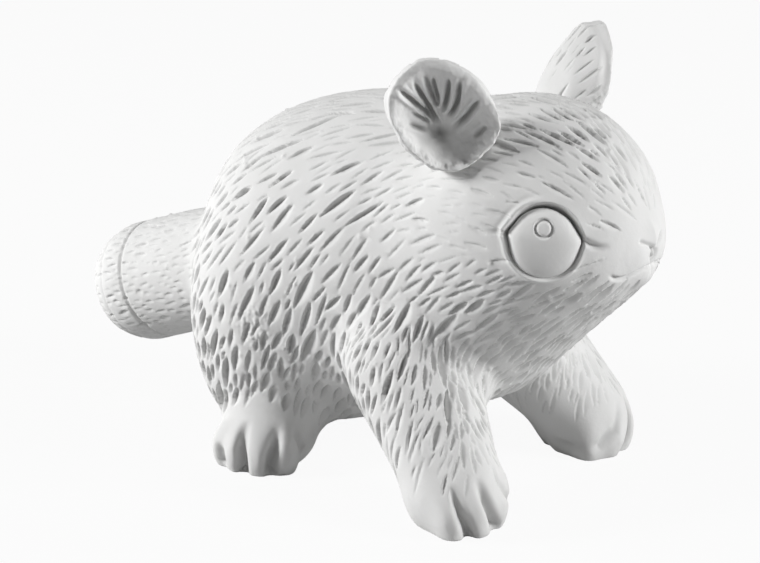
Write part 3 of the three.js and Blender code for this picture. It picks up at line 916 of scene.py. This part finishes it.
# The outline of the rim, from where the rays of its pixels meet the plane of the rim
rim = []
eyepoint = np.array(viewpoint.location)
for x, y in smooth_line(EAR_OUTLINE, closed=True):
    ray = np.array(ray_to(x, y))
    rim.append(eyepoint + ray * ((EAR_MIDDLE - eyepoint) @ ear_out) / (ray @ ear_out))
rim_across, rim_up, _ = in_ear(np.array(rim))
rim_angle, rim_radius = np.arctan2(rim_up, rim_across), np.hypot(rim_up, rim_across)
across, upward, sunk = in_ear(cup)
angle = np.arctan2(upward, across)
stretch = np.interp(angle, rim_angle, rim_radius, period=2 * math.pi) / EAR_RADIUS
stretch = 1 + (stretch - 1) * ramp(sunk, -9 * mm, -2 * mm)
cup += ((stretch - 1) * across)[:, None] * ear_front + ((stretch - 1) * upward)[:, None] * ear_up
fullness = EAR_FULLNESS * ramp(sunk, -9.5 * mm, -6 * mm) * ramp(sunk, -0.5 * mm, -3 * mm)
fullness *= ramp(upward, -4 * mm, 6 * mm)
fullness *= ramp(np.hypot(across, upward), 4 * mm, 7 * mm)
cup += fullness[:, None] * (np.cos(angle)[:, None] * ear_front + np.sin(angle)[:, None] * ear_up)
press(ear_right, cup)
work(ear_right, "SUBSURF", levels=1, render_levels=1)
bpy.context.view_layer.update()

# The bowl of the ear: it falls from the inner edge of the rim to the hollow, near the root
cup = points_of(ear_right)
outward = normals_of(ear_right)
hollow_across, hollow_up, _ = in_ear(on_clay(*EAR_HOLLOW, ear_right))
inset = rim_radius - np.interp(np.degrees(rim_angle), EAR_RIM_TURNS, EAR_RIM_WIDTHS) * mm
edge_across = inset * np.cos(rim_angle) - hollow_across
edge_up = inset * np.sin(rim_angle) - hollow_up
edge_way, edge_reach = np.arctan2(edge_up, edge_across), np.hypot(edge_up, edge_across)


def to_rim(across, upward):
    """How far points are from the hollow, as a share of the way to the inner edge of the rim."""
    ahead, above = across - hollow_across, upward - hollow_up
    way = np.arctan2(above, ahead)
    return np.hypot(above, ahead) / np.interp(way, edge_way, edge_reach, period=2 * math.pi)


across, upward, sunk = in_ear(cup)
share = to_rim(across, upward)
ahead, above = across - hollow_across, upward - hollow_up
radial = across[:, None] * ear_front + upward[:, None] * ear_up
radial /= np.hypot(across, upward)[:, None]
inner = ramp(outward @ ear_out - 0.8 * (outward * radial).sum(1), 0.1, 0.4) * ramp(share, 1.6, 1.4)
spread = 0.6 * inner * np.clip(-sunk - 0.3 * mm, 0, 2.5 * mm) * ramp(share, 0.2, 0.8)
spread /= np.hypot(ahead, above)
cup -= (spread * ahead)[:, None] * ear_front + (spread * above)[:, None] * ear_up
across, upward, sunk = in_ear(cup)
share = to_rim(across, upward)
rim_at = np.interp(np.arctan2(upward, across), rim_angle, rim_radius, period=2 * math.pi)
rim_width = np.interp(np.degrees(np.arctan2(upward, across)), EAR_RIM_TURNS, EAR_RIM_WIDTHS) * mm
over_rim = 1 + (np.hypot(across, upward) - rim_at) / rim_width
crest = EAR_CREST * rim_width
bowl = crest * ramp(share, 0.6, 1) - EAR_BOWL * np.clip(1 - share, 0, 1) ** 0.9
bowl -= EAR_PIT * np.exp(-((share / 0.2) ** 2))
bowl = np.where(over_rim > 0, crest * (1 - np.clip(over_rim, 0, 1) ** 2), bowl)
bowl -= EAR_RIM_DROP * ramp(over_rim, 0.9, 0)
cup += (inner * (bowl - sunk))[:, None] * (ear_out + EAR_SLOPE * ear_up)
soften = neighbour_mean(ear_right)
wiped = (inner * ramp(share, 0.1, 0.3) * ramp(over_rim, 0.6, 0.2))[:, None]
for _ in range(EAR_WIPE_ROUNDS):
    cup += wiped * (soften(cup) - cup) / 2
press(ear_right, cup)
bpy.context.view_layer.update()
outward = normals_of(ear_right)
press_in = np.zeros(len(cup))
for fold, depth in zip(EAR_FOLDS, EAR_FOLD_DEPTHS):
    cut = groove(fold, depth * mm, EAR_FOLD_WIDTH, cup, (0.4, 0.3), clay=ear_right, crest=0.4)
    cut *= inner
    press_in = np.where(np.abs(cut) > np.abs(press_in), cut, press_in)
lumpy = 0.35 * inner + ramp(upward, 2 * mm, -4 * mm) * ramp(share, 0.7, 0.95)
for i in np.flatnonzero(lumpy > 0.02):
    press_in[i] += lumpy[i] * 0.35 * mm * noise.fractal(Vector(cup[i]) / (2.2 * mm), 0.8, 2.2, 3)
press(ear_right, cup - press_in[:, None] * outward)
behind = ramp(outward @ ear_out, 0.1, -0.3) * ramp(sunk, -8.5 * mm, -7 * mm)
behind *= ramp(sunk, -1 * mm, -2.5 * mm)
down_ear = np.tile(-ear_up - EAR_SLOPE * ear_out, (len(cup), 1))
even = np.ones(len(cup))
ear_coat = (2.2 * even, 0.36 * even, 0.32 * even, 0.9 * behind, 2.4 * even)
comb(ear_right, down_ear, *ear_coat, EAR_STROKE_TRIES)
# Painted shade in the folds of the ear's hollow, darker the deeper they are pressed.
painted_fold_shade = np.clip(press_in / mm, 0, 1)
mark(ear_right, "painted_cut_shade", np.maximum(marked(ear_right, "painted_cut_shade"), painted_fold_shade))
only(ear_right)
bpy.ops.object.shade_smooth()
ear_right.data.materials.clear()
ear_right.data.materials.append(cast_bisque)
ear_left = mirrored(ear_right, "bisque_ear_left")
cup = points_of(ear_left)
bent = ramp(cup[:, 2], EAR_MIDDLE[2] - 11 * mm, EAR_MIDDLE[2] + 10 * mm)
press(ear_left, cup + bent[:, None] * EAR_BEND)
for piece, node in ((ear_right, "ear_right"), (ear_left, "ear_left")):
    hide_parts(node)
    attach(piece, "root")

# Floor and light. The figure stands on white paper between two soft boxes, one behind its right
# flank and one before its face, so that the light grazes the side towards the viewer and shows the
# strokes.
LAMPS = (
    ("soft_box_left", (-0.561, 0.655, 0.423), 8.6, 0.25),
    ("soft_box_front", (0.233, -0.822, 0.40), 6.4, 0.25),
)
bpy.ops.mesh.primitive_plane_add(size=4)
floor = bpy.context.object
floor.name = "floor"
paper = bpy.data.materials.new("paper")
paper.use_nodes = True
nodes, links = paper.node_tree.nodes, paper.node_tree.links
paper_shader = nodes["Principled BSDF"]
paper_shader.inputs["Base Color"].default_value = (0.5, 0.5, 0.5, 1)
paper_shader.inputs["Roughness"].default_value = 0.9
glow = nodes.new("ShaderNodeEmission")
glow.inputs["Strength"].default_value = 1


def looked_at(nodes, links):
    """1 where something is looked at, also in a mirror or through glass, and 0 for its light."""
    path = nodes.new("ShaderNodeLightPath")
    total = path.outputs["Is Camera Ray"]
    for way in ("Is Glossy Ray", "Is Transmission Ray"):
        add = nodes.new("ShaderNodeMath")
        add.use_clamp = True
        links.new(total, add.inputs[0])
        links.new(path.outputs[way], add.inputs[1])
        total = add.outputs["Value"]
    return total


paper_glow = nodes.new("ShaderNodeMapRange")
paper_glow.inputs["To Max"].default_value = 0.94
links.new(looked_at(nodes, links), paper_glow.inputs["Value"])
mixed = nodes.new("ShaderNodeMixShader")
links.new(paper_glow.outputs["Result"], mixed.inputs["Fac"])
links.new(paper_shader.outputs["BSDF"], mixed.inputs[1])
links.new(glow.outputs["Emission"], mixed.inputs[2])
links.new(mixed.outputs["Shader"], nodes["Material Output"].inputs["Surface"])
floor.data.materials.append(paper)
for name, place, power, size in LAMPS:
    bpy.ops.object.light_add(type="AREA", location=place)
    lamp = bpy.context.object
    lamp.name = name
    lamp.data.energy = power
    lamp.data.size = size
    lamp.rotation_euler = Vector(place).to_track_quat("Z", "Y").to_euler()
studio = bpy.data.worlds.new("studio")
studio.use_nodes = True
nodes, links = studio.node_tree.nodes, studio.node_tree.links
sky = nodes["Background"]
sky.inputs["Color"].default_value = (1, 1, 1, 1)
level = nodes.new("ShaderNodeMapRange")
level.inputs["To Min"].default_value = 0.08
level.inputs["To Max"].default_value = 1
links.new(looked_at(nodes, links), level.inputs["Value"])
links.new(level.outputs["Result"], sky.inputs["Strength"])
bpy.context.scene.world = studio
bpy.context.scene.view_settings.view_transform = "Standard"
